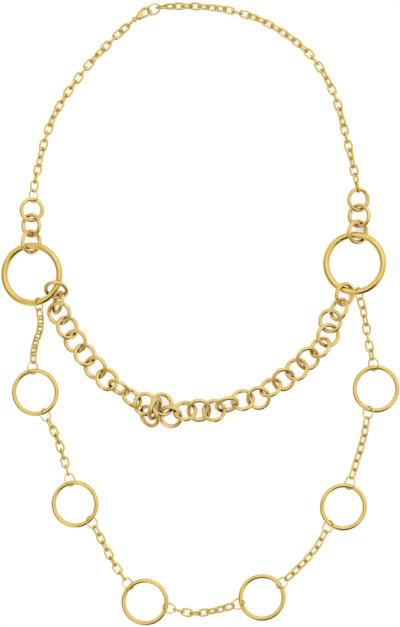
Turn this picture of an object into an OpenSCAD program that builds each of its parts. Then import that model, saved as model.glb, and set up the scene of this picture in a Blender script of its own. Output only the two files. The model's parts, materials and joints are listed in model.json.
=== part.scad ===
// Long necklace lying flat, seen from above: an arch of fine cable chain with a lobster clasp at the top,
// a strand of round links across the middle and a lower strand of plain rings on short fine chains.
// The floor is z = 0, and +Y runs from the lower strand to the clasp.

/* [Fine chain] */
// Outer length of an oval link
link_l = 7.8; // [7.75:0.05:7.85]
// Outer width of an oval link
link_w = 5.3; // [5.2:0.05:5.4]
// Wire of an oval link
link_wire = 1.1; // [1:0.05:1.1]
// Height of the middle of a chain over the floor
chain_z = 2.75; // [2.75:0.05:3]
// Links in each short chain of the lower strand
drop_links = 7; // [7:1:7]

/* [Round links] */
// Outer width of a round link
round_d = 14.9; // [14.8:0.05:15]
// Wire of a round link
round_wire = 2.3; // [2.2:0.05:2.3]

/* [Rings] */
// Outer width of the two large rings
large_d = 38; // [37.8:0.1:38.2]
// Wire of the two large rings
large_wire = 3.7; // [3.5:0.05:3.7]
// Outer width of the six rings in the lower strand
medium_d = 28.4; // [28.2:0.1:28.6]
// Wire of the six rings in the lower strand
medium_wire = 2.5; // [2.4:0.05:2.5]
// Outer width of a jump ring
jump_d = 8.4; // [8.4:0.05:8.6]
// Wire of a jump ring
jump_wire = 0.7; // [0.6:0.05:0.7]

/* [Clasp] */
// Outer radius of the clasp's hook
hook_r = 4; // [4:0.05:4.1]
// Thickness of the wire that forms the hook
hook_wire = 1.8; // [1.7:0.05:1.8]
// Distance from the tail's hole to the middle of the hook
clasp_l = 7.6; // [7.6:0.05:7.8]
// Thickness of the clasp's body
clasp_t = 2.4; // [2.4:0.05:2.6]
// Radius of the lever's pin
pin_r = 0.35; // [0.3:0.05:0.4]

/* [Hidden] */
$fn = 48;
gold = [0.86, 0.74, 0.42];
round_rho = (round_d - round_wire) / 2;
jump_rho = (jump_d - jump_wire) / 2;
link_end = (link_l - link_wire) / 2;
link_side = (link_w - link_wire) / 2;
// How far the middle of the link that a jump ring holds is from the middle of that ring, with play
jump_play = 0.3;
jump_in = jump_rho - jump_wire / 2;
jump_lead = jump_in - link_wire / 2 + link_end - jump_play;

// The large and medium rings, clockwise from the upper left down the lower strand to the upper right.
// Columns: x, y, outer width, wire, direction of the axis it leans about, lean
X = 0;
Y = 1;
carriers = [
    [-100.8, 23.2, large_d, large_wire, 90, -14],
    [-98.8, -47.6, medium_d, medium_wire, 105, -7],
    [-75, -114.6, medium_d, medium_wire, 117, -7],
    [-33, -173.4, medium_d, medium_wire, 149, -7],
    [37.2, -170.7, medium_d, medium_wire, 25, 7],
    [86, -116.4, medium_d, medium_wire, 63, 7],
    [105.6, -45.6, medium_d, medium_wire, 84, 7],
    [92.7, 29.8, large_d, large_wire, 70, -9]
];

// The short chains of the lower strand, one between each ring and the next.
// Columns: angle on the first ring, angle on the next, sideways bow a third and two thirds of the way along,
// twist at the start, twist at the end
drops = [
    [-77, 96, 2.3, -0.1, 40, 45],
    [-66, 102, 1.6, 1.2, 60, 90],
    [-47, 133, -0.4, -1, 50, 85],
    [-14, 195, -3.9, -3, 90, 25],
    [36, 232, -2, -2.5, 45, 45],
    [75, 251, -0.8, -1.2, 45, 45],
    [96, -82, 0.1, -0.6, 45, 160]
];

// The round links of the middle strand, from the left large ring to the right one.
// Columns: x, y, direction of the long axis seen from above, tilt about it, height over lying on the floor
middle = [
    [-86.1, 13.8, -10, 45, 3.5],
    [-84.9, 6.3, 75, -68, 0],
    [-84.4, -0.1, -50, 16, 2],
    [-79.5, -8.7, -65, -30, 0],
    [-74.7, -17, -60, 18, 1],
    [-68.9, -25.1, -52, -30, 0],
    [-62.8, -32.8, -55, 22, 0.5],
    [-55.8, -39.9, -45, -29, 0],
    [-48.6, -44.7, -30, 60, 0],
    [-40.9, -50.8, -43, -56, 0],
    [-32.8, -54.6, -45, -16, 1.5],
    [-30.3, -61.8, 120, -46, 0.5],
    [-27, -57.3, 70, 66, 0],
    [-22.8, -54.9, -60, -28, 0.5],
    [-17.7, -62.1, -25, 22, 0.5],
    [-9, -58.8, 5, -38, 0],
    [-0.6, -58.4, 10, 20, 0],
    [8.4, -58.5, 20, -22, 0],
    [16.2, -54.9, 15, 54, 0],
    [25.5, -52.2, 10, -30, 1],
    [35.1, -51, 10, 14, 2.5],
    [42.3, -44.7, 30, -46, 0],
    [50.1, -39.9, 38, 22, 1],
    [57.9, -33.9, 40, -24, 1],
    [64.8, -27.3, 38, 20, 1.5],
    [72, -20.7, 45, -44, 0],
    [76.8, -13.5, 70, 18, 1.5],
    [78.1, -4.8, 80, -16, 2],
    [83.3, 2.1, 65, -50, 0.5],
    [86.7, 11.1, 80, 40, 0]
];

// The three round links over each large ring, from the chain down. Columns as above.
stack_left = [
    [-100.8, 61.8, 90, 10, 3],
    [-101.2, 52.5, 90, -38, 0],
    [-101.2, 42.6, 90, 38, 0]
];
stack_right = [
    [95, 67.9, 90, 24, 0.5],
    [95.4, 58.3, 90, -26, 0.5],
    [94.5, 48.6, 80, 32, 0]
];

// Where the clasp's tail lies, and the direction in which the clasp points
clasp_at = [-39.2, 176.2];
clasp_turn = 28;
clasp_z = 3;
// The ring that the clasp holds, and its tilt about the clasp's own direction
clasp_ring_at = [-27.8, 182.2];
clasp_ring_tilt = 42;

// The long chains, as points that the middle of the chain passes through.
// Columns: x, y, z, twist added to the quarter turn from link to link
arch_left = [
    [-41.6, 174, clasp_z, 90],
    [-53.5, 163, chain_z, 180],
    [-70, 145, chain_z, 270],
    [-84.5, 124, chain_z, 290],
    [-92.5, 105.5, chain_z, 360],
    [-98.5, 80.5, 4.2, 435],
    [-99.9, 70.1, 4.9, 390]
];
arch_right = [
    [-23, 183.5, clasp_z, 110],
    [-18, 184, chain_z, 145],
    [-2.5, 184, chain_z, 155],
    [12.5, 182.5, chain_z, 140],
    [22, 180.5, chain_z, 180],
    [37, 175.5, chain_z, 240],
    [54.5, 165, chain_z, 236],
    [69, 151.5, chain_z, 270],
    [81, 130, chain_z, 360],
    [88, 104.5, chain_z, 450],
    [92.5, 85.5, chain_z, 540],
    [94.4, 75.6, 4.2, 615]
];
arch_left_links = 24;
arch_right_links = 37;
// Tilt of the jump ring between the left chain and the round links below it
arch_jump_tilt = -48;

// The clasp's tail with its hole, and the neck between the tail and the back
tail_r = 1.6;
tail_hole = 0.9;
tail_t = 1.3;
neck_x = 0.5;
neck_l = 1.6;
// The angles at which the hook leaves the back and ends
hook_root = 160;
hook_end = -52;
// The lever, the slot that it turns in and the pin that it turns on
lever_t = 1;
slot_gap = 0.15;
lever_tip = [8.1, -1.5];
lever_tip_r = 0.5;
pin_at = [3.2, -0.8];
pin_gap = 0.1;
pin_inset = 0.1;

// The tables' origin is near the middle of the necklace, and this brings the middle itself to the origin.
module laid() {
    translate([-0.21, 0.51, 0]) children();
}

// A ring of round wire, lying flat about its middle.
module torus(d, wire) {
    rotate_extrude() translate([(d - wire) / 2, 0]) circle(d = wire);
}

// An oval link of round wire, its length along X and its width along Y.
module oval_link() {
    straight = link_l - link_w;
    for (side = [-1, 1]) {
        translate([0, side * link_side, 0]) rotate([0, 90, 0])
            cylinder(h = straight, d = link_wire, center = true);
        translate([side * straight / 2, 0, 0]) rotate([0, 0, -90 * side])
            rotate_extrude(angle = 180) translate([link_side, 0]) circle(d = link_wire);
    }
}

// One row of a table of round links. Each is as low as its tilt lets it lie, plus its last column.
module round_link(row) {
    color(gold) laid() translate([row[X], row[Y], round_rho * abs(sin(row[3])) + round_wire / 2 + row[4]])
        rotate([0, 0, row[2]]) rotate([row[3], 0, 0]) torus(round_d, round_wire);
}

// How far the middle of a leaning ring is over the floor, and the height of its wire at an angle.
function carrier_rho(row) = (row[2] - row[3]) / 2;
function carrier_z(row) = carrier_rho(row) * abs(sin(row[5])) + row[3] / 2;
function wire_z(row, a) = carrier_z(row) + carrier_rho(row) * sin(a - row[4]) * sin(row[5]);

module carrier(row) {
    color(gold) laid() translate([row[X], row[Y], carrier_z(row)])
        rotate([0, 0, row[4]]) rotate([row[5], 0, 0]) rotate([0, 0, -row[4]]) torus(row[2], row[3]);
}

// A jump ring hangs out from the wire that it holds as far as its own size lets it, less the play, and
// tilts enough to pass over and under that wire.
over_under = 0.7;
function jump_reach(wire) = jump_in - wire / 2 - jump_play;
function jump_tilt(wire) =
    asin((wire / 2 + jump_wire / 2 + over_under) / sqrt(pow(jump_rho, 2) - pow(jump_reach(wire), 2)));
function jump_at(row, a) = [
    row[X] + (carrier_rho(row) + jump_reach(row[3])) * cos(a),
    row[Y] + (carrier_rho(row) + jump_reach(row[3])) * sin(a),
    wire_z(row, a)
];
module jump_ring(at, turn, tilt) {
    translate(at) rotate([0, 0, turn]) rotate([tilt, 0, 0]) torus(jump_d, jump_wire);
}

// A smooth line through the points, as many short steps, and the length run at each of them.
steps = 8;
function knot(p, k) = k < 0 ? 2 * p[0] - p[1] : k >= len(p) ? 2 * p[len(p) - 1] - p[len(p) - 2] : p[k];
function between(a, b, c, d, t) =
    (2 * b + (c - a) * t + (2 * a - 5 * b + 4 * c - d) * t * t + (3 * b - 3 * c + d - a) * t * t * t) / 2;
function smooth(p) = concat(
    [for (k = [0 : len(p) - 2], j = [0 : steps - 1])
        between(knot(p, k - 1), p[k], p[k + 1], knot(p, k + 2), j / steps)],
    [p[len(p) - 1]]
);
function stride(path, k) = norm([for (c = [0 : 2]) path[k + 1][c] - path[k][c]]);
function run(path, k = 0, so_far = 0) =
    k >= len(path) - 1 ? [so_far] : concat([so_far], run(path, k + 1, so_far + stride(path, k)));
function spot(path, runs, s) =
    [for (c = [0 : 3]) lookup(s, [for (k = [0 : len(path) - 1]) [runs[k], path[k][c]]])];

// Oval links set evenly along the line, the first and last as far in from its ends as given.
// Points have x, y, z and the twist.
module chain(points, count, start = 0, end = 0) {
    path = smooth(points);
    runs = run(path);
    length = runs[len(runs) - 1];
    for (i = [0 : count - 1]) {
        s = start + (length - start - end) * i / (count - 1);
        here = spot(path, runs, s);
        along = spot(path, runs, min(s + 1, length)) - spot(path, runs, max(s - 1, 0));
        translate([here[0], here[1], here[2]])
            rotate([0, -atan2(along[2], norm([along[0], along[1]])), atan2(along[1], along[0])])
                rotate([90 * i + here[3], 0, 0]) oval_link();
    }
}

module arch_chain_left() {
    last = arch_left[len(arch_left) - 1];
    color(gold) laid() {
        chain(arch_left, arch_left_links, 0, jump_lead);
        jump_ring([last[0], last[1], last[2]], 90, arch_jump_tilt);
    }
}
module arch_chain_right() {
    color(gold) laid() chain(arch_right, arch_right_links);
}

// The direction halfway between an angle and the way to another point.
function halfway(a, way) = atan2(sin(a) + way[1] / norm(way), cos(a) + way[0] / norm(way));

// A short chain between two rings, with the jump ring at each of its ends.
module lower_chain(k) {
    row = drops[k];
    from = jump_at(carriers[k], row[0]);
    to = jump_at(carriers[k + 1], row[1]);
    way = (to - from) / norm(to - from);
    aside = [-way[1], way[0], 0];
    third = (2 * from + to) / 3 + row[2] * aside;
    last_third = (from + 2 * to) / 3 + row[3] * aside;
    twist = [row[4], row[5]];
    start_tilt = (twist[0] > 90 ? 1 : -1) * jump_tilt(carriers[k][3]);
    end_tilt = (twist[1] > 90 ? -1 : 1) * jump_tilt(carriers[k + 1][3]);
    color(gold) laid() {
        jump_ring(from, halfway(row[0], third - from), start_tilt);
        jump_ring(to, halfway(row[1], last_third - to), end_tilt);
        chain([
            [from[0], from[1], from[2], twist[0]],
            [third[0], third[1], (from[2] + chain_z) / 2, (2 * twist[0] + twist[1]) / 3],
            [last_third[0], last_third[1], (to[2] + chain_z) / 2, (twist[0] + 2 * twist[1]) / 3],
            [to[0], to[1], to[2], twist[1]]
        ], drop_links, jump_lead, jump_lead);
    }
}

// The clasp lies along X with its tail's hole at the origin, its hook's opening towards -Y.
module clasp_place() {
    translate([clasp_at[X], clasp_at[Y], clasp_z]) rotate([0, 0, clasp_turn]) children();
}

// The solid back of the clasp swells from the tail to the root of the hook.
module clasp_back() {
    difference() {
        linear_extrude(height = clasp_t, center = true) polygon([
            [0.9, -1.2], [0.9, 1.1], [2.3, 1.8], [3.8, 2.8], [5.3, 3.3],
            [clasp_l - 1, 2.6], [clasp_l - 1, -0.6], [5.4, -1.7], [3, -1.9]
        ]);
        cylinder_at(clasp_l, 0, hook_r - hook_wire, clasp_t + 1);
    }
}
module cylinder_at(x, y, r, h) {
    translate([x, y, 0]) cylinder(r = r, h = h, center = true);
}
module clasp_hook() {
    reach = hook_r - hook_wire / 2;
    translate([clasp_l, 0, 0]) rotate([0, 0, hook_end]) rotate_extrude(angle = hook_root - hook_end)
        translate([reach, 0]) circle(d = hook_wire);
}
module clasp_body() {
    color(gold) laid() clasp_place() {
        difference() {
            union() {
                cylinder_at(0, 0, tail_r, tail_t);
                translate([neck_x, 0, 0]) cube([neck_l, 2 * tail_hole, tail_t], center = true);
                clasp_back();
                clasp_hook();
            }
            cylinder_at(0, 0, tail_hole, clasp_t);
            linear_extrude(height = lever_t + 2 * slot_gap, center = true)
                polygon([[1.9, -3], [1.9, -0.5], [2.6, 0.3], [5.2, 1], [6.2, 1], [6.2, -3]]);
        }
        cylinder_at(pin_at[X], pin_at[Y], pin_r, clasp_t - 2 * pin_inset);
    }
}

// The lever turns on the pin between the two cheeks, and its tip closes the hook.
module clasp_lever() {
    color(gold) laid() clasp_place() difference() {
        union() {
            cylinder_at(pin_at[X], pin_at[Y], 2 * pin_r + pin_gap, lever_t);
            linear_extrude(height = lever_t, center = true) polygon([
                [pin_at[X] - 0.6, pin_at[Y] - 0.5], [pin_at[X], pin_at[Y] + 0.7],
                lever_tip + [0, lever_tip_r], lever_tip - [0, lever_tip_r], [4, -1.9], [3, -2.4]
            ]);
            cylinder_at(lever_tip[X], lever_tip[Y], lever_tip_r, lever_t);
        }
        cylinder_at(pin_at[X], pin_at[Y], pin_r + pin_gap, clasp_t);
    }
}
module clasp_ring() {
    color(gold) laid() jump_ring([clasp_ring_at[X], clasp_ring_at[Y], clasp_z], clasp_turn, clasp_ring_tilt);
}

clasp_body();
clasp_lever();
clasp_ring();
arch_chain_left();
arch_chain_right();
for (i = [1 : len(stack_left)])
    round_link(stack_left[i - 1]);
for (i = [1 : len(stack_right)])
    round_link(stack_right[i - 1]);
carrier(carriers[0]);  // large_ring_left
carrier(carriers[len(carriers) - 1]);  // large_ring_right
for (i = [1 : len(middle)])
    round_link(middle[i - 1]);
for (i = [1 : len(carriers) - 2])
    carrier(carriers[i]);
for (i = [1 : len(drops)])
    lower_chain(i - 1);
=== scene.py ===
# A long necklace of pale gold metal, laid flat on a white ground and seen from straight above.
import json
import math
import bpy
import numpy as np
from mathutils import Matrix, Vector


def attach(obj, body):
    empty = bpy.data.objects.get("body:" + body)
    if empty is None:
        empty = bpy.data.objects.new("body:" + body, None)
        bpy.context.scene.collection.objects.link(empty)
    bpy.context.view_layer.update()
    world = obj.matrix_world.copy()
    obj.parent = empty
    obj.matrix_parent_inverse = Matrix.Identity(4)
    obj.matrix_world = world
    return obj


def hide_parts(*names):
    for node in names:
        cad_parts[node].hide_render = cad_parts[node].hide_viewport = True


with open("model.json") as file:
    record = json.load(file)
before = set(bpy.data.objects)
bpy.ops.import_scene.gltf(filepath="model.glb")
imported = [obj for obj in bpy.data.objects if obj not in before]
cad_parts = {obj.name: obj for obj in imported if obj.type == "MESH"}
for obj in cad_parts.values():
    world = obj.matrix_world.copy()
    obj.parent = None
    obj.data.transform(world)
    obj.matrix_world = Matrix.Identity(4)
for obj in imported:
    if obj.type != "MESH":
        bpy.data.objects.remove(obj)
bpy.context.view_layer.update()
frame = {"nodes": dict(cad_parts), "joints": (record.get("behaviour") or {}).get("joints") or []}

# White ground and studio light
# The necklace lies on a lit white card, whose glow carries painted shade only in the narrow gaps between
# crossing wires. A white tent stands round it, brighter on one side, with a grey screen on another and a
# dark gap at the near side. The polished metal mirrors the tent and not the card.
GROUND_SIDE = 4.0
bpy.ops.object.select_all(action="DESELECT")
bpy.ops.mesh.primitive_plane_add(size=GROUND_SIDE, location=(0, 0, 0))
ground = bpy.context.object
ground.name = "ground"
ground.data.name = "ground"
ground.visible_glossy = False


class Finish:
    """A socket in the node tree of a finish. Sums and products of these add Math nodes."""

    def __init__(self, tree, socket=None):
        self.tree = tree
        self.socket = socket

    def node(self, kind, settings, inputs, output=0):
        """Adds a node with its settings and inputs, and gives one of its outputs."""
        made = self.tree.nodes.new(kind)
        for name, value in settings.items():
            if name == "stops":
                ramp = made.color_ramp
                while len(ramp.elements) < len(value):
                    ramp.elements.new(0.5)
                for stop, (place, colour) in zip(ramp.elements, value):
                    stop.position = place
                    stop.color = (*colour, 1.0)
            else:
                setattr(made, name, value)
        for name, value in inputs.items():
            if isinstance(value, Finish):
                self.tree.links.new(value.socket, made.inputs[name])
            else:
                made.inputs[name].default_value = value
        return Finish(self.tree, made.outputs[output] if made.outputs else None)

    def maths(self, operation, first, second):
        return self.node("ShaderNodeMath", {"operation": operation}, {0: first, 1: second})

    def __add__(self, other):
        return self.maths("ADD", self, other)

    def __radd__(self, other):
        return self.maths("ADD", other, self)

    def __rmul__(self, other):
        return self.maths("MULTIPLY", other, self)

    def mix(self, amount, first, second):
        """A colour between two others, each a socket or three numbers."""
        ends = [end if isinstance(end, Finish) else (*end, 1.0) for end in (first, second)]
        return self.node("ShaderNodeMix", {"data_type": "RGBA"}, {0: amount, 6: ends[0], 7: ends[1]}, 2)

    def soft_step(self, value, low, high, at_low, at_high):
        """Turns smoothly from at_low to at_high as the value goes from low to high."""
        return self.node(
            "ShaderNodeMapRange", {"interpolation_type": "SMOOTHSTEP"},
            {"Value": value, "From Min": low, "From Max": high, "To Min": at_low, "To Max": at_high},
        )


# The card: how white and dull it is, how much it glows, and the painted shade on its glow where wires
# close over it.
WHITE = (1.0, 1.0, 1.0)
CARD_WHITE = (0.2, 0.2, 0.2)
CARD_DULL = 0.9
CARD_GLOW = 0.88
CARD_SHADE = (0.26, 0.1, 0.02)
SHADE_REACH = 0.0055
SHADE_FULL_AT = 0.1
SHADE_GONE_AT = 0.6
GRAIN_SCALE = 900.0
GRAIN_DEPTH = 0.0001
GRAIN_STRENGTH = 0.02
card = bpy.data.materials.new("white_card")
card.use_nodes = True
card.node_tree.nodes.clear()
sheet = Finish(card.node_tree)
place = sheet.node("ShaderNodeTexCoord", {}, {}, "Object")
grain = sheet.node("ShaderNodeTexNoise", {}, {"Vector": place, "Scale": GRAIN_SCALE, "Detail": 3.0})
grain_bump = sheet.node(
    "ShaderNodeBump", {}, {"Height": grain, "Strength": GRAIN_STRENGTH, "Distance": GRAIN_DEPTH}
)
# Painted shade: the card's glow turns dark brown where wires close in over it.
card_open = sheet.node("ShaderNodeAmbientOcclusion", {"samples": 8}, {"Distance": SHADE_REACH}, "AO")
painted_gap_shade = sheet.soft_step(card_open, SHADE_FULL_AT, SHADE_GONE_AT, 1.0, 0.0)
card_glow_and_painted_shade = sheet.mix(painted_gap_shade, WHITE, CARD_SHADE)
paper = sheet.node(
    "ShaderNodeBsdfPrincipled", {},
    {
        "Base Color": (*CARD_WHITE, 1.0), "Roughness": CARD_DULL, "Normal": grain_bump,
        "Emission Color": card_glow_and_painted_shade, "Emission Strength": CARD_GLOW,
    },
)
sheet.node("ShaderNodeOutputMaterial", {}, {"Surface": paper})
ground.data.materials.append(card)

# The tent from its foot to its top, and what else stands in it: colour, compass angle, angle from
# straight up, and how far from its middle it begins and is full, all in degrees.
TENT_TOP = (1.0, 1.0, 0.98)
TENT_WALL = (0.7, 0.67, 0.56)
TENT_FOOT = (0.88, 0.9, 0.98)
UNDER = (0.74, 0.74, 0.72)
TENT_STOPS = [(0.35, UNDER), (0.5, TENT_FOOT), (0.75, TENT_WALL), (0.92, TENT_WALL), (0.985, TENT_TOP)]
BRIGHT_SIDE = (0.92, 0.95, 1.05)
GREY_SIDE = (0.36, 0.32, 0.23)
NEAR_GAP = (0.04, 0.035, 0.03)
PATCHES = [
    (BRIGHT_SIDE, 56, 45, 45, 14),
    (GREY_SIDE, 198, 76, 42, 16),
    (NEAR_GAP, 288, 48, 28, 12),
    (NEAR_GAP, 288, 84, 34, 18),
]
world = bpy.data.worlds.new("tent")
bpy.context.scene.world = world
world.use_nodes = True
world.node_tree.nodes.clear()
tent = Finish(world.node_tree)
look = tent.node("ShaderNodeTexCoord", {}, {}, "Generated")
height = tent.node("ShaderNodeSeparateXYZ", {}, {"Vector": look}, "Z")
tent_tone = tent.node("ShaderNodeValToRGB", {"stops": TENT_STOPS}, {"Fac": 0.5 * height + 0.5})
for colour, azimuth, slope, edge, core in PATCHES:
    turn, lean = math.radians(azimuth), math.radians(slope)
    toward = (math.sin(lean) * math.cos(turn), math.sin(lean) * math.sin(turn), math.cos(lean))
    near = tent.node("ShaderNodeVectorMath", {"operation": "DOT_PRODUCT"}, {0: look, 1: toward}, "Value")
    full = tent.soft_step(near, math.cos(math.radians(edge)), math.cos(math.radians(core)), 0.0, 1.0)
    tent_tone = tent.mix(full, tent_tone, colour)
glow = tent.node("ShaderNodeBackground", {}, {"Color": tent_tone, "Strength": 1.0})
tent.node("ShaderNodeOutputWorld", {}, {"Surface": glow})

# The camera looks straight down from far away, and takes in what the photograph shows.
SEEN_HEIGHT = 0.3762
SEEN_MIDDLE = (-0.00021, 0.00021)
CAMERA_UP = 2.5
CAMERA_FILM = 36.0
LOOK_AT = 0.0026
bpy.ops.object.camera_add(location=(*SEEN_MIDDLE, CAMERA_UP), rotation=(0, 0, 0))
camera = bpy.context.object
camera.data.sensor_fit = "VERTICAL"
camera.data.sensor_height = CAMERA_FILM
camera.data.lens = CAMERA_FILM * (CAMERA_UP - LOOK_AT) / SEEN_HEIGHT
bpy.context.scene.camera = camera
bpy.context.scene.view_settings.view_transform = "Standard"

# A weak soft box at the upper right adds a little light to the wires.
KEY_PLACE = (0.53, 0.92, 1.1)
KEY_LENGTH = 0.5
KEY_WIDTH = 0.3
KEY_ENERGY = 0.12
bpy.ops.object.light_add(type="AREA", location=KEY_PLACE)
key = bpy.context.object
key.data.shape = "RECTANGLE"
key.data.size = KEY_LENGTH
key.data.size_y = KEY_WIDTH
key.data.energy = KEY_ENERGY
key.rotation_euler = (Vector((0, 0, 0)) - key.location).to_track_quat("-Z", "Y").to_euler()

# Clasp body
# One casting of plated brass: a tail with a hole, a solid back that swells towards the hook, and the
# hook itself. The back is slotted for the lever, and the lever's pin is riveted over on both cheeks.
# It is made lying along X in millimetres, and then turned and moved to its place.
MM = 0.001
CLASP_TURN = math.radians(28)
PIN_X = 3.2
PIN_Y = -0.8
PIN_R = 0.34
HOOK_X = 7.6
HOOK_BEND = 3.1
HOOK_WIRE_R = 0.9
CHEEK_TOP = 1.16
CLASP_GOLD = (1.0, 0.77, 0.3)
CLASP_DEEP = (0.98, 0.65, 0.18)
CLASP_DULL = 0.12
CLASP_TARNISH_AND_SHADE = 0.0028

clasp_place = (
    Matrix.Translation(frame["joints"][0]["pos_m"]) @ Matrix.Rotation(CLASP_TURN, 4, "Z")
    @ Matrix.Scale(MM, 4) @ Matrix.Translation((-PIN_X, -PIN_Y, 0))
)

# What all the gold has: its edge tint, its tarnish and painted shade where wires close over each other,
# deeper patches, small specks and polishing marks.
EDGE_GOLD = (0.95, 0.85, 0.55)
TARNISH_AND_SHADE = (0.11, 0.045, 0.01)
TARNISH_AND_SHADE_MOST = 0.97
TARNISH_AND_SHADE_FULL_AT = 0.22
TARNISH_AND_SHADE_GONE_AT = 0.78
PATCH_SCALE = 160.0
PATCH_ROUGH = 0.06
SPECK_SCALE = 2600.0
SPECK_DEEP = 0.35
MARK_SCALE = 1500.0
MARK_DRAWN = (1.0, 9.0, 3.0)
MARK_ROUGH = 0.1
DENT_DEPTH = 0.00004
DENT_STRENGTH = 0.18


def gold_finish(name, pale, deep, dull, tarnish_and_shade_reach):
    """Plated and polished brass: pale gold with deeper patches, and tarnish with painted shade where wires
    close over it.
    """
    made = bpy.data.materials.new(name)
    made.use_nodes = True
    made.node_tree.nodes.clear()
    metal = Finish(made.node_tree)
    place = metal.node("ShaderNodeTexCoord", {}, {}, "Object")
    patches = metal.node("ShaderNodeTexNoise", {}, {"Vector": place, "Scale": PATCH_SCALE, "Detail": 4.0})
    specks = metal.node("ShaderNodeTexNoise", {}, {"Vector": place, "Scale": SPECK_SCALE, "Detail": 2.0})
    drawn = metal.node("ShaderNodeMapping", {}, {"Vector": place, "Scale": MARK_DRAWN})
    marks = metal.node("ShaderNodeTexNoise", {}, {"Vector": drawn, "Scale": MARK_SCALE, "Detail": 5.0})
    tone = metal.node("ShaderNodeMapRange", {}, {"Value": patches, "From Min": 0.35, "From Max": 0.7})
    worn = metal.node(
        "ShaderNodeMapRange", {},
        {"Value": specks, "From Min": 0.62, "From Max": 0.75, "To Max": SPECK_DEEP},
    )
    clean = metal.mix(metal.maths("MAXIMUM", tone, worn), pale, deep)
    # Tarnish and painted shade: the colour darkens to brown-black where little open space is around it, as
    # where wires close over each other.
    open_air = metal.node("ShaderNodeAmbientOcclusion", {"samples": 8}, {"Distance": tarnish_and_shade_reach}, "AO")
    tarnish_and_shade = metal.soft_step(open_air, TARNISH_AND_SHADE_FULL_AT, TARNISH_AND_SHADE_GONE_AT, TARNISH_AND_SHADE_MOST, 0.0)
    dents = metal.node(
        "ShaderNodeBump", {},
        {"Height": 0.6 * marks + 0.4 * specks, "Strength": DENT_STRENGTH, "Distance": DENT_DEPTH},
    )
    shader = metal.node(
        "ShaderNodeBsdfPrincipled", {},
        {
            "Base Color": metal.mix(tarnish_and_shade, clean, TARNISH_AND_SHADE),
            "Roughness": dull + MARK_ROUGH * marks + PATCH_ROUGH * tone,
            "Metallic": 1.0, "Specular Tint": (*EDGE_GOLD, 1.0), "Normal": dents,
        },
    )
    metal.node("ShaderNodeOutputMaterial", {}, {"Surface": shader})
    return made


def pick(piece, chosen):
    """Selects, in edit mode, the vertices that pass the test, and nothing else."""
    bpy.ops.object.mode_set(mode="OBJECT")
    mesh = piece.data
    mesh.polygons.foreach_set("select", [False] * len(mesh.polygons))
    mesh.edges.foreach_set("select", [False] * len(mesh.edges))
    mesh.vertices.foreach_set("select", [bool(chosen(vertex)) for vertex in mesh.vertices])
    bpy.ops.object.mode_set(mode="EDIT")
    bpy.ops.mesh.select_mode(type="VERT")


def pick_faces(piece, chosen):
    """Selects, in edit mode, the faces that pass the test, and nothing else."""
    bpy.ops.object.mode_set(mode="EDIT")
    bpy.ops.mesh.select_mode(type="FACE")
    bpy.ops.mesh.select_all(action="DESELECT")
    bpy.ops.object.mode_set(mode="OBJECT")
    for face in piece.data.polygons:
        face.select = chosen(face)
    bpy.ops.object.mode_set(mode="EDIT")


def named(piece, name):
    """Names a piece and its mesh, and gives it back."""
    piece.name = name
    piece.data.name = name
    return piece


def alone(piece):
    """Selects one piece and nothing else, and makes it the active one."""
    bpy.ops.object.select_all(action="DESELECT")
    piece.select_set(True)
    bpy.context.view_layer.objects.active = piece


def swept(name, stations, sides):
    """A closed form through oval sections: each has two edge points, in plan, and half its thickness."""
    bpy.ops.object.select_all(action="DESELECT")
    for count, (inner, outer, half_thick) in enumerate(stations):
        across = Vector((*outer, 0)) - Vector((*inner, 0))
        middle = (Vector((*outer, 0)) + Vector((*inner, 0))) / 2
        bpy.ops.mesh.primitive_circle_add(vertices=sides, radius=1.0, rotation=(math.pi / 2, 0, 0))
        if count == 0:
            form = named(bpy.context.object, name)
            bpy.ops.object.transform_apply(location=True, rotation=True, scale=True)
            bpy.ops.object.mode_set(mode="EDIT")
            bpy.ops.mesh.select_all(action="SELECT")
        bpy.ops.transform.resize(value=(across.length / 2, 1, half_thick), center_override=(0, 0, 0))
        bpy.ops.transform.rotate(
            value=-math.atan2(across.y, across.x), orient_axis="Z", center_override=(0, 0, 0)
        )
        bpy.ops.transform.translate(value=middle)
        if count > 0:
            low = (count - 1) * sides
            pick(form, lambda vertex: low <= vertex.index < low + 2 * sides)
            bpy.ops.mesh.bridge_edge_loops()
        bpy.ops.mesh.select_all(action="DESELECT")
    for low in (0, (len(stations) - 1) * sides):
        pick(form, lambda vertex: low <= vertex.index < low + sides)
        bpy.ops.mesh.edge_face_add()
    bpy.ops.mesh.select_all(action="SELECT")
    bpy.ops.mesh.normals_make_consistent(inside=False)
    bpy.ops.object.mode_set(mode="OBJECT")
    return form


def wire_ring(name, sections, sides, bend, wire):
    """A closed ring of round wire that lies flat at the origin."""
    bpy.ops.object.select_all(action="DESELECT")
    bpy.ops.mesh.primitive_torus_add(
        major_segments=sections, minor_segments=sides, major_radius=bend, minor_radius=wire
    )
    return named(bpy.context.object, name)


def joined(form, other, operation):
    """Unites the form with another, or cuts the other out of it, and removes the other."""
    alone(form)
    change = form.modifiers.new("change", "BOOLEAN")
    change.operation = operation
    change.object = other
    bpy.ops.object.modifier_apply(modifier="change")
    bpy.data.objects.remove(other)


def eased(form, width, angle):
    """Rounds the sharp edges of a finished form a little and shades it smooth."""
    alone(form)
    soft = form.modifiers.new("soft", "BEVEL")
    soft.width = width
    soft.segments = 2
    soft.limit_method = "ANGLE"
    soft.angle_limit = math.radians(angle)
    bpy.ops.object.modifier_apply(modifier="soft")
    bpy.ops.object.shade_smooth_by_angle(angle=math.radians(angle))


def hook_point(angle, reach):
    """A point in plan, at an angle round the middle of the hook."""
    return (
        HOOK_X + reach * math.cos(math.radians(angle)), reach * math.sin(math.radians(angle))
    )


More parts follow.
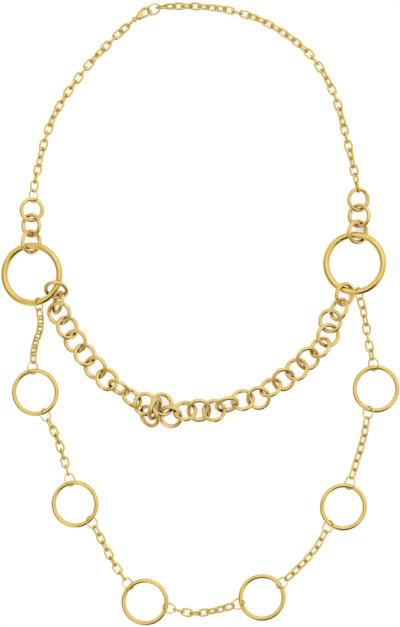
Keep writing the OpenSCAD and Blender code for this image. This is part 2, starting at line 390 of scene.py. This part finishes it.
# The hook's tip: angle round the hook, reach to the near and far edge, half the thickness.
HOOK_TIP = [
    (-52, 2.5, 3.5, 0.45),
    (-51, 2.32, 3.75, 0.65),
    (-48.5, 2.23, 3.92, 0.8),
    (-43, 2.2, 4.0, 0.88),
]
HOOK_ARC = [-30, -15, 0, 15, 30, 45, 60, 75, 90, 102, 114]
HOOK_NEAR = HOOK_BEND - HOOK_WIRE_R
HOOK_FAR = HOOK_BEND + HOOK_WIRE_R
# The back, from the hook to the tail: inner edge point, outer edge point, half the thickness.
BACK = [
    (hook_point(126, HOOK_NEAR), (5.4, 3.3), 0.97),
    (hook_point(140, HOOK_NEAR), (4.7, 3.16), 1.05),
    (hook_point(156, HOOK_NEAR), (4.0, 2.9), 1.12),
    (hook_point(174, HOOK_NEAR), (3.4, 2.55), 1.17),
    (hook_point(194, HOOK_NEAR), (2.9, 2.2), 1.19),
    ((5.0, -1.72), (2.4, 1.88), 1.19),
    ((3.9, -1.84), (2.0, 1.64), 1.14),
    ((2.9, -1.84), (1.65, 1.42), 1.04),
    ((2.1, -1.6), (1.4, 1.22), 0.92),
    ((1.5, -1.3), (1.2, 1.05), 0.8),
    ((1.15, -1.0), (1.1, 0.9), 0.68),
]
casting = [(hook_point(angle, near), hook_point(angle, far), half) for angle, near, far, half in HOOK_TIP]
casting += [(hook_point(angle, HOOK_NEAR), hook_point(angle, HOOK_FAR), HOOK_WIRE_R) for angle in HOOK_ARC]
clasp_body = swept("clasp_body_cast", casting + BACK, 24)

# The tail is a thick ring that the first link of the left chain passes through.
TAIL_BEND = 1.25
TAIL_WIRE_R = 0.35
TAIL_DEEPER = 1.8
tail = wire_ring("tail", 40, 16, TAIL_BEND, TAIL_WIRE_R)
bpy.ops.object.mode_set(mode="EDIT")
bpy.ops.mesh.select_all(action="SELECT")
bpy.ops.transform.resize(value=(1, 1, TAIL_DEEPER), center_override=(0, 0, 0))
bpy.ops.object.mode_set(mode="OBJECT")
joined(clasp_body, tail, "UNION")

# The slot in the back, open on the side that the lever swings in from. It is deeper near the hook.
SLOT_X = 3.6
SLOT_Y = -2.0
SLOT_LENGTH = 3.4
SLOT_WIDTH = 3.2
SLOT_HALF = 0.65
SLOT_LONGER = 0.9
SLOT_RISE = 1.2
bpy.ops.object.select_all(action="DESELECT")
bpy.ops.mesh.primitive_cube_add(size=1.0, location=(SLOT_X, SLOT_Y, 0))
slot = bpy.context.object
bpy.ops.object.transform_apply(location=True, rotation=True, scale=True)
bpy.ops.object.mode_set(mode="EDIT")
bpy.ops.mesh.select_all(action="SELECT")
bpy.ops.transform.resize(
    value=(SLOT_LENGTH, SLOT_WIDTH, 2 * SLOT_HALF), center_override=(SLOT_X, SLOT_Y, 0)
)
pick(slot, lambda vertex: vertex.co.x > SLOT_X and vertex.co.y > SLOT_Y)
bpy.ops.transform.translate(value=(SLOT_LONGER, SLOT_RISE, 0))
pick(slot, lambda vertex: vertex.co.x > SLOT_X and vertex.co.y < SLOT_Y)
bpy.ops.transform.translate(value=(SLOT_LONGER, 0, 0))
bpy.ops.object.mode_set(mode="OBJECT")
joined(clasp_body, slot, "DIFFERENCE")

# The pin crosses the slot, and its two heads stand a little proud of the cheeks.
HEAD_INSET = 0.16
HEAD_RISE = 0.05
bpy.ops.object.select_all(action="DESELECT")
bpy.ops.mesh.primitive_cylinder_add(
    vertices=24, radius=PIN_R, depth=2 * CHEEK_TOP, location=(PIN_X, PIN_Y, 0)
)
pin = bpy.context.object
bpy.ops.object.transform_apply(location=True, rotation=True, scale=True)
for side_z in (-1, 1):
    pick_faces(pin, lambda face: face.normal.z * side_z > 0.9)
    bpy.ops.mesh.inset(thickness=HEAD_INSET)
    bpy.ops.transform.translate(value=(0, 0, HEAD_RISE * side_z))
bpy.ops.object.mode_set(mode="OBJECT")
joined(clasp_body, pin, "UNION")
EDGE_ANGLE = 40
CLASP_EASE = 0.05
eased(clasp_body, CLASP_EASE, EDGE_ANGLE)
clasp_body.data.transform(clasp_place)
clasp_metal = gold_finish("clasp_gold", CLASP_GOLD, CLASP_DEEP, CLASP_DULL, CLASP_TARNISH_AND_SHADE)
clasp_body.data.materials.clear()
clasp_body.data.materials.append(clasp_metal)
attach(clasp_body, "root")
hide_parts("clasp_body")

# Clasp lever
# A thin cast arm that turns on the pin between the cheeks. Its tip rests against the hook's end and
# closes it, and a nub near the pin is pulled back with a finger nail to open it.
LEVER_HALF = 0.5
LEVER_EASE = 0.04
NUB_HALF = 0.48
BORE_R = 0.45
# Both tables: a section's two edge points, in plan, and half its thickness.
ARM = [
    ((2.72, -1.25), (2.55, -0.9), 0.42),
    ((2.9, -1.55), (2.72, -0.3), LEVER_HALF),
    ((3.2, -1.66), (3.2, -0.06), LEVER_HALF),
    ((3.8, -1.62), (3.8, -0.12), LEVER_HALF),
    ((4.6, -1.78), (4.5, -0.32), LEVER_HALF),
    ((5.6, -1.88), (5.5, -0.55), LEVER_HALF),
    ((6.8, -1.95), (6.7, -0.8), LEVER_HALF),
    ((7.8, -1.98), (7.75, -1.02), LEVER_HALF),
    ((8.4, -1.93), (8.4, -1.1), 0.46),
    ((8.68, -1.8), (8.68, -1.22), 0.38),
    ((8.8, -1.64), (8.8, -1.38), 0.24),
]
NUB = [
    ((2.85, -2.28), (3.1, -2.36), 0.25),
    ((2.8, -2.15), (3.35, -2.3), 0.42),
    ((2.8, -1.9), (3.75, -2.0), NUB_HALF),
    ((2.85, -1.3), (4.2, -1.35), NUB_HALF),
]
clasp_lever = swept("clasp_lever_cast", ARM, 20)
joined(clasp_lever, swept("nub", NUB, 16), "UNION")
bpy.ops.object.select_all(action="DESELECT")
bpy.ops.mesh.primitive_cylinder_add(vertices=24, radius=BORE_R, depth=2.0, location=(PIN_X, PIN_Y, 0))
joined(clasp_lever, bpy.context.object, "DIFFERENCE")
eased(clasp_lever, LEVER_EASE, EDGE_ANGLE)
clasp_lever.data.transform(clasp_place)
clasp_lever.data.materials.clear()
clasp_lever.data.materials.append(clasp_metal)
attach(clasp_lever, "lever")
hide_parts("clasp_lever")

# Jump rings
# Thin round wire bent to a ring, with the two sawn ends pressed together. One hangs in the clasp, one
# joins the left chain to the round links, and one is at each end of the short chains below.
JUMP_BEND = 3.85 * MM
JUMP_WIRE_R = 0.35 * MM
JUMP_SECTIONS = 60
SAW_CUT = 0.06 * MM
SAW_DEPTH = 0.05 * MM
CLASP_RING_TURN = 2.2
JUMP_GOLD = (0.92, 0.74, 0.24)
JUMP_DEEP = (0.87, 0.62, 0.13)
JUMP_DULL = 0.14


def seam(ring, sections, width, depth):
    """Marks the place where a ring's wire ends meet, at its +X side, by a fine groove round the wire."""
    step = 2 * math.pi / sections
    pick(ring, lambda vertex: vertex.co.x > 0 and abs(vertex.co.y) < 0.2 * step * vertex.co.x)
    bpy.ops.mesh.select_mode(type="EDGE")
    bpy.ops.mesh.bevel(offset=width / 2, segments=2, affect="EDGES")
    bpy.ops.object.mode_set(mode="OBJECT")
    pick(ring, lambda vertex: vertex.co.x > 0 and abs(vertex.co.y) < width / 8)
    bpy.ops.transform.shrink_fatten(value=-depth)
    bpy.ops.object.mode_set(mode="OBJECT")


jump_ring = wire_ring("jump_ring_pattern", JUMP_SECTIONS, 12, JUMP_BEND, JUMP_WIRE_R)
seam(jump_ring, JUMP_SECTIONS, SAW_CUT, SAW_DEPTH)


def lie(corners):
    """The middle of a closed form and its own directions, longest first, from its triangles."""
    corners = np.asarray(corners, float)
    middle = (corners.reshape(-1, 3).min(0) + corners.reshape(-1, 3).max(0)) / 2
    corners = corners - middle
    area = np.linalg.norm(
        np.cross(corners[:, 1] - corners[:, 0], corners[:, 2] - corners[:, 0]), axis=1
    )
    total = corners.sum(1)
    spread = np.einsum("t,tki,tkj->ij", area, corners, corners)
    spread += np.einsum("t,ti,tj->ij", area, total, total)
    values, directions = np.linalg.eigh(spread)
    longest, normal = directions[:, 2], directions[:, 0]
    normal = normal if normal[2] >= 0 else -normal
    # A ring has no longest side, so it gets one that depends on its tilt alone.
    if values[2] < 1.2 * values[1]:
        longest = np.cross(normal, (0.3, 0.2, 1.0))
        longest /= np.linalg.norm(longest)
    longest = longest if longest[0] >= 0 else -longest
    wide = np.cross(normal, longest)
    turn = Matrix([[longest[i], wide[i], normal[i]] for i in range(3)]).to_4x4()
    return Matrix.Translation(Vector(middle)) @ turn


def triangles(piece):
    """The corners of a piece's triangles, three by three."""
    mesh = piece.data
    mesh.calc_loop_triangles()
    corners = np.zeros(len(mesh.vertices) * 3)
    mesh.vertices.foreach_get("co", corners)
    order = np.zeros(len(mesh.loop_triangles) * 3, int)
    mesh.loop_triangles.foreach_get("vertices", order)
    return corners.reshape(-1, 3)[order].reshape(-1, 3, 3)


def copy_of(pattern, name, place, turn_seam):
    """A copy of a pattern piece with a mesh of its own, at its place, its seam turned round the ring."""
    made = pattern.copy()
    made.data = pattern.data.copy()
    named(made, name)
    bpy.context.collection.objects.link(made)
    made.data.transform(place @ Matrix.Rotation(turn_seam, 4, "Z"))
    return made


def finished(piece, metal, node):
    """Gives a piece its metal and shading, sets it to ride on the root body, and hides the node that it
    takes the place of.
    """
    piece.data.materials.clear()
    piece.data.materials.append(metal)
    piece.data.shade_smooth()
    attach(piece, "root")
    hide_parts(node)


jump_metal = gold_finish("jump_ring_gold", JUMP_GOLD, JUMP_DEEP, JUMP_DULL, CLASP_TARNISH_AND_SHADE)
ring_place = lie(triangles(frame["nodes"]["clasp_ring"]))
clasp_ring = copy_of(jump_ring, "clasp_jump_ring", ring_place, CLASP_RING_TURN)
finished(clasp_ring, jump_metal, "clasp_ring")

# Fine chains
# Cable chain of oval links in fine round wire, each closed by a soldered joint in the middle of one
# long side. Each link stands across the one before it. The jump rings at the ends belong to them.
LINK_L = 7.8 * MM
LINK_W = 5.3 * MM
LINK_WIRE_R = 0.55 * MM
LINK_BEND = LINK_W / 2 - LINK_WIRE_R
LINK_STRAIGHT = LINK_L - LINK_W
LINK_STEP = 0.05 * LINK_BEND
SOLDER_HALF = 0.12 * MM
SOLDER_RISE = 0.02 * MM
WELD = 0.001 * MM
JUMP_FROM_W = 1.4 * LINK_W
# Each ring's seam is turned this far past the one before.
SEAM_TURN = 2.4
CHAIN_GOLD = (0.98, 0.79, 0.21)
CHAIN_DEEP = (0.93, 0.66, 0.12)
CHAIN_DULL = 0.14
CHAIN_TARNISH_AND_SHADE = 0.003

# A ring is split in two halves, which are drawn apart and bridged by the link's two straight sides.
oval_link = wire_ring("oval_link_pattern", 40, 14, LINK_BEND, LINK_WIRE_R)
pick_faces(oval_link, lambda face: face.center.x > 0)
bpy.ops.mesh.split()
bpy.ops.transform.translate(value=(LINK_STRAIGHT / 2, 0, 0))
bpy.ops.mesh.select_all(action="INVERT")
bpy.ops.transform.translate(value=(-LINK_STRAIGHT / 2, 0, 0))
for side_y in (-1, 1):
    pick(
        oval_link,
        lambda vertex: vertex.co.y * side_y > 0 and abs(abs(vertex.co.x) - LINK_STRAIGHT / 2) < LINK_STEP,
    )
    bpy.ops.mesh.bridge_edge_loops(number_cuts=1 if side_y < 0 else 2)
# The two cuts in one side are drawn together to the joint, which stands out a little.
pick(oval_link, lambda vertex: vertex.co.y > 0 and abs(vertex.co.x) < 0.9 * LINK_STRAIGHT / 2)
bpy.ops.transform.resize(value=(SOLDER_HALF / (LINK_STRAIGHT / 6), 1, 1), center_override=(0, 0, 0))
bpy.ops.transform.shrink_fatten(value=SOLDER_RISE)
bpy.ops.mesh.select_all(action="SELECT")
bpy.ops.mesh.normals_make_consistent(inside=False)
bpy.ops.object.mode_set(mode="OBJECT")

chain_metal = gold_finish("chain_gold", CHAIN_GOLD, CHAIN_DEEP, CHAIN_DULL, CHAIN_TARNISH_AND_SHADE)
chains = ["arch_chain_left", "arch_chain_right"] + [f"lower_chain_{k}" for k in range(1, 8)]
for chain in chains:
    # A copy of the node is taken apart, and each of its solids shows where a link lies.
    loose = frame["nodes"][chain].copy()
    loose.data = loose.data.copy()
    loose.parent = None
    bpy.context.collection.objects.link(loose)
    alone(loose)
    bpy.ops.object.mode_set(mode="EDIT")
    bpy.ops.mesh.select_all(action="SELECT")
    bpy.ops.mesh.remove_doubles(threshold=WELD)
    bpy.ops.mesh.separate(type="LOOSE")
    bpy.ops.object.mode_set(mode="OBJECT")
    solids = list(bpy.context.selected_objects)
    links = []
    for solid in solids:
        place = lie(triangles(solid))
        local = np.array([v.co for v in solid.data.vertices]) - np.array(place.translation)
        size = np.abs(local @ np.array(place.to_3x3())).max(0) * 2
        if size[1] > JUMP_FROM_W:
            link = copy_of(jump_ring, f"{chain}_link", place, SEAM_TURN * len(links))
        else:
            other_side = len(links) % 3 == 0
            link = copy_of(oval_link, f"{chain}_link", place, math.pi if other_side else 0.0)
        links.append(link)
    for solid in solids:
        bpy.data.objects.remove(solid)
    alone(links[0])
    for link in links:
        link.select_set(True)
    bpy.ops.object.join()
    whole = named(bpy.context.object, f"{chain}_links")
    finished(whole, chain_metal, chain)

# Round links
# Thicker round wire closed to plain rings by a soldered joint, three over each large ring and thirty
# across the middle. Each passes over and under its neighbours.
ROUND_BEND = 6.3 * MM
ROUND_WIRE_R = 1.15 * MM
ROUND_SECTIONS = 72
ROUND_SEAM = 0.09 * MM
SEAM_DEPTH = 0.03 * MM
ROUND_GOLD = (0.98, 0.8, 0.34)
ROUND_DEEP = (0.9, 0.62, 0.16)
ROUND_DULL = 0.03
ROUND_TARNISH_AND_SHADE = 0.0044

round_link = wire_ring("round_link_pattern", ROUND_SECTIONS, 20, ROUND_BEND, ROUND_WIRE_R)
seam(round_link, ROUND_SECTIONS, ROUND_SEAM, SEAM_DEPTH)
round_metal = gold_finish("round_link_gold", ROUND_GOLD, ROUND_DEEP, ROUND_DULL, ROUND_TARNISH_AND_SHADE)
round_nodes = [f"stack_ring_{hand}_{k}" for hand in ("left", "right") for k in (1, 2, 3)]
round_nodes += [f"middle_ring_{k}" for k in range(1, 31)]
for count, node in enumerate(round_nodes):
    place = lie(triangles(frame["nodes"][node]))
    made = copy_of(round_link, f"{node}_wire", place, SEAM_TURN * count)
    finished(made, round_metal, node)

# Large and medium rings
# Plain rings of stout round wire. The two large ones carry both strands, and the six medium ones sit
# between the short chains of the lower strand.
LARGE_BEND = 17.15 * MM
LARGE_WIRE_R = 1.85 * MM
LARGE_DULL = 0.04
MEDIUM_BEND = 12.95 * MM
MEDIUM_WIRE_R = 1.25 * MM
MEDIUM_DULL = 0.09
RING_SECTIONS = 144
RING_SEAM = 0.1 * MM
FIRST_TURN = 1.0
RING_GOLD = (0.95, 0.74, 0.26)
RING_DEEP = (0.9, 0.63, 0.15)
RING_TARNISH_AND_SHADE = 0.0028

# Each size: its name, its dullness, the radius of its bend and of its wire, and its nodes.
sizes = [
    ("large", LARGE_DULL, LARGE_BEND, LARGE_WIRE_R, ["large_ring_left", "large_ring_right"]),
    ("medium", MEDIUM_DULL, MEDIUM_BEND, MEDIUM_WIRE_R, [f"lower_ring_{k}" for k in range(1, 7)]),
]
patterns = [jump_ring, oval_link, round_link]
for name, dull, bend, wire, nodes in sizes:
    metal = gold_finish(f"{name}_ring_gold", RING_GOLD, RING_DEEP, dull, RING_TARNISH_AND_SHADE)
    plain = wire_ring(f"{name}_ring_pattern", RING_SECTIONS, 28, bend, wire)
    seam(plain, RING_SECTIONS, RING_SEAM, SEAM_DEPTH)
    patterns.append(plain)
    for count, node in enumerate(nodes):
        place = lie(triangles(frame["nodes"][node]))
        made = copy_of(plain, f"{node}_wire", place, SEAM_TURN * count + FIRST_TURN)
        finished(made, metal, node)

# The pattern pieces were only there to be copied.
for pattern in patterns:
    bpy.data.objects.remove(pattern)
